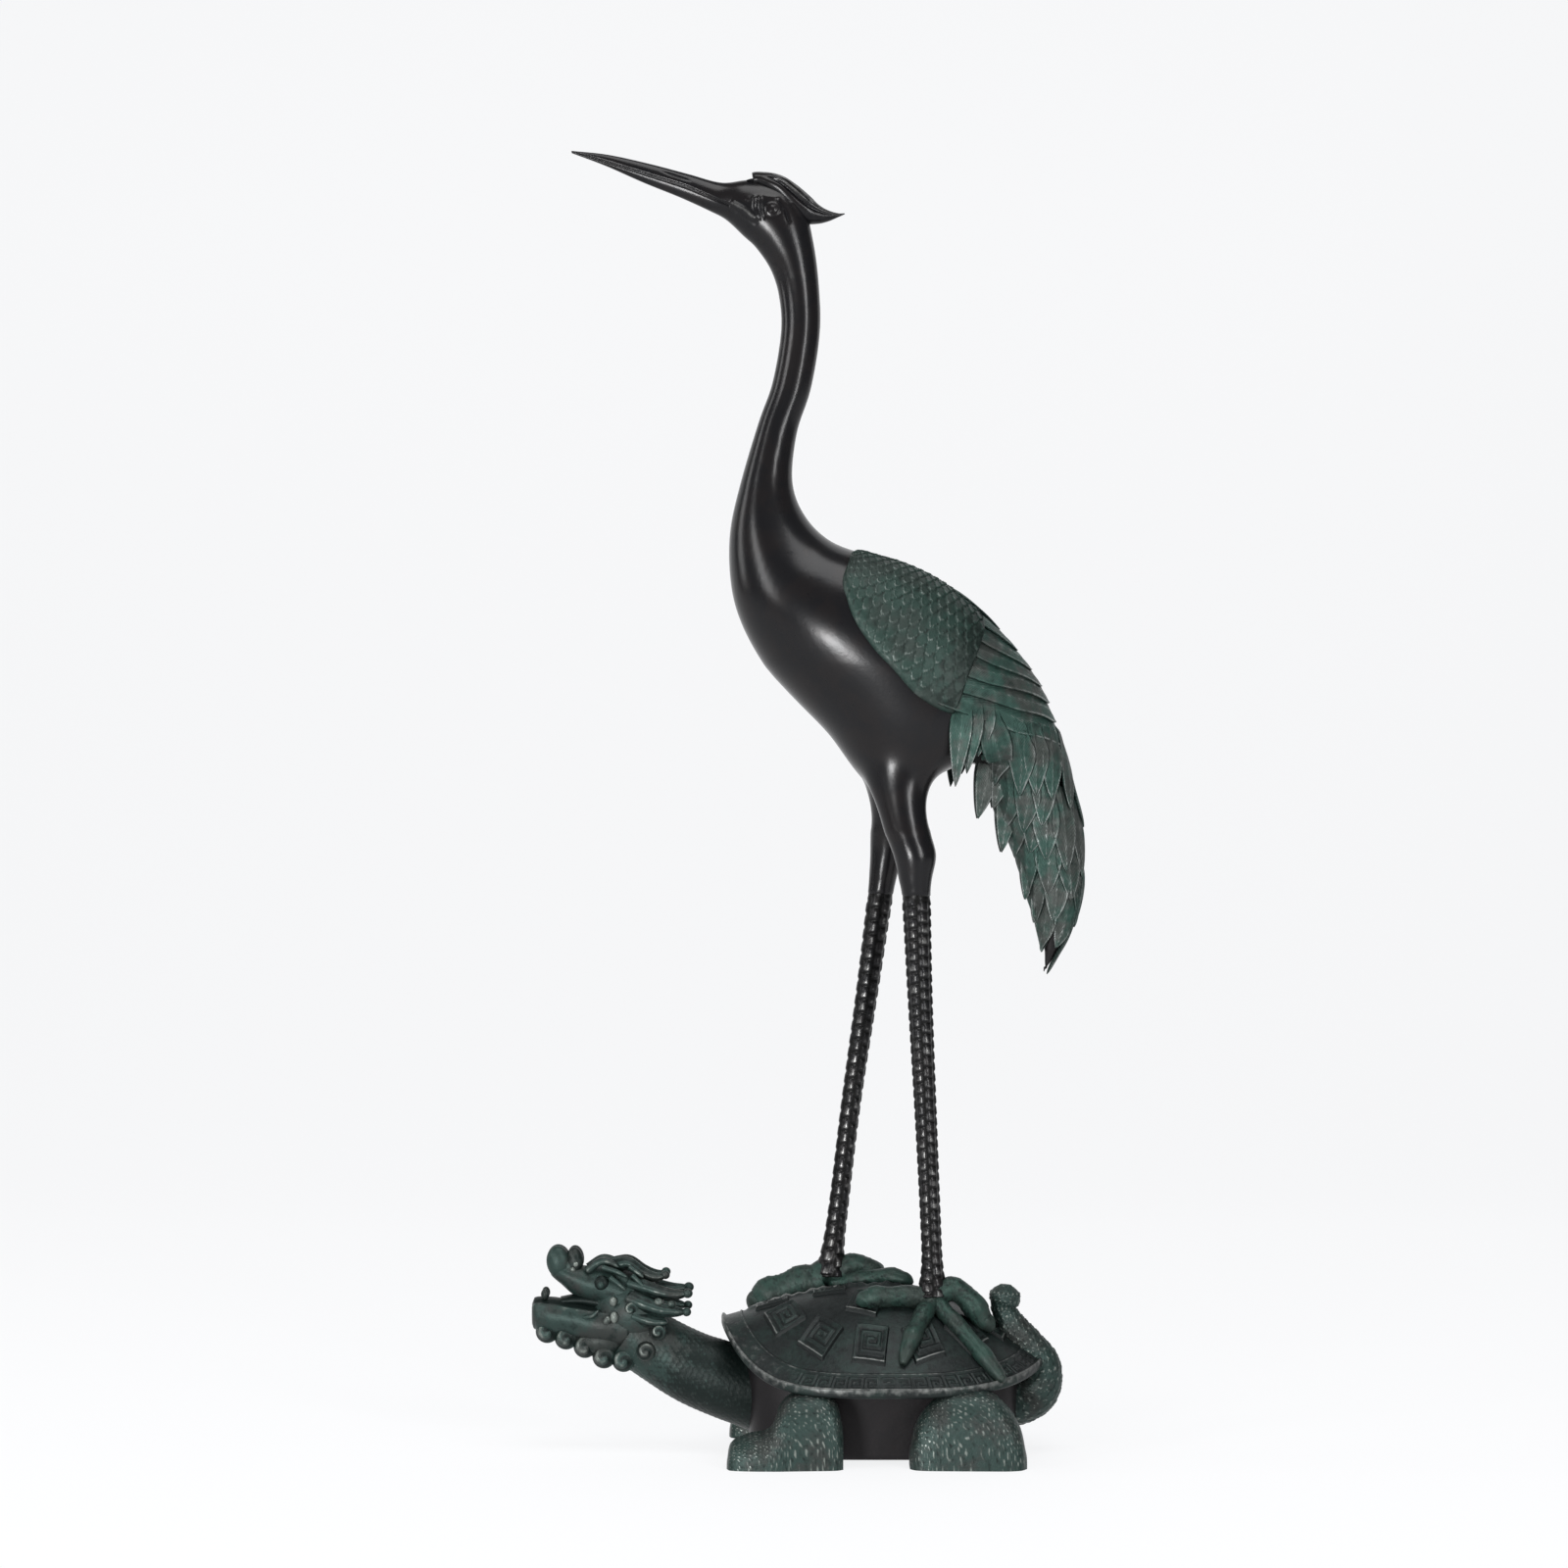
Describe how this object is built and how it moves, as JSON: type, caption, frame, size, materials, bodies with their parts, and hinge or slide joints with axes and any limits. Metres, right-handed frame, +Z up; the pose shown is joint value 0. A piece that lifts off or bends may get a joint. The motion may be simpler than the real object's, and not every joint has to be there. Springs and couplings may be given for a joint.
{
  "type": "crane garden statue",
  "caption": "Cast bronze garden statue of a crane with raised bill and folded wings, standing on the back of a dragon-headed turtle.",
  "frame": {"origin": "middle of the turtle's flat underside, on the ground", "axes": "+Z up the statue; both figures face -X; -Y is their left side, the one the picture shows"},
  "size_m": [0.4498, 0.228, 1.0606],
  "materials": {
    "black_bronze": "cast bronze with a waxed near-black patina, green on the wings and toes",
    "green_bronze": "cast bronze with a dark green patina, rubbed lighter on its raised edges"
  },
  "bodies": {
    "root": {"crane": "black_bronze", "dragon_turtle": "green_bronze"}
  },
  "joints": []
}
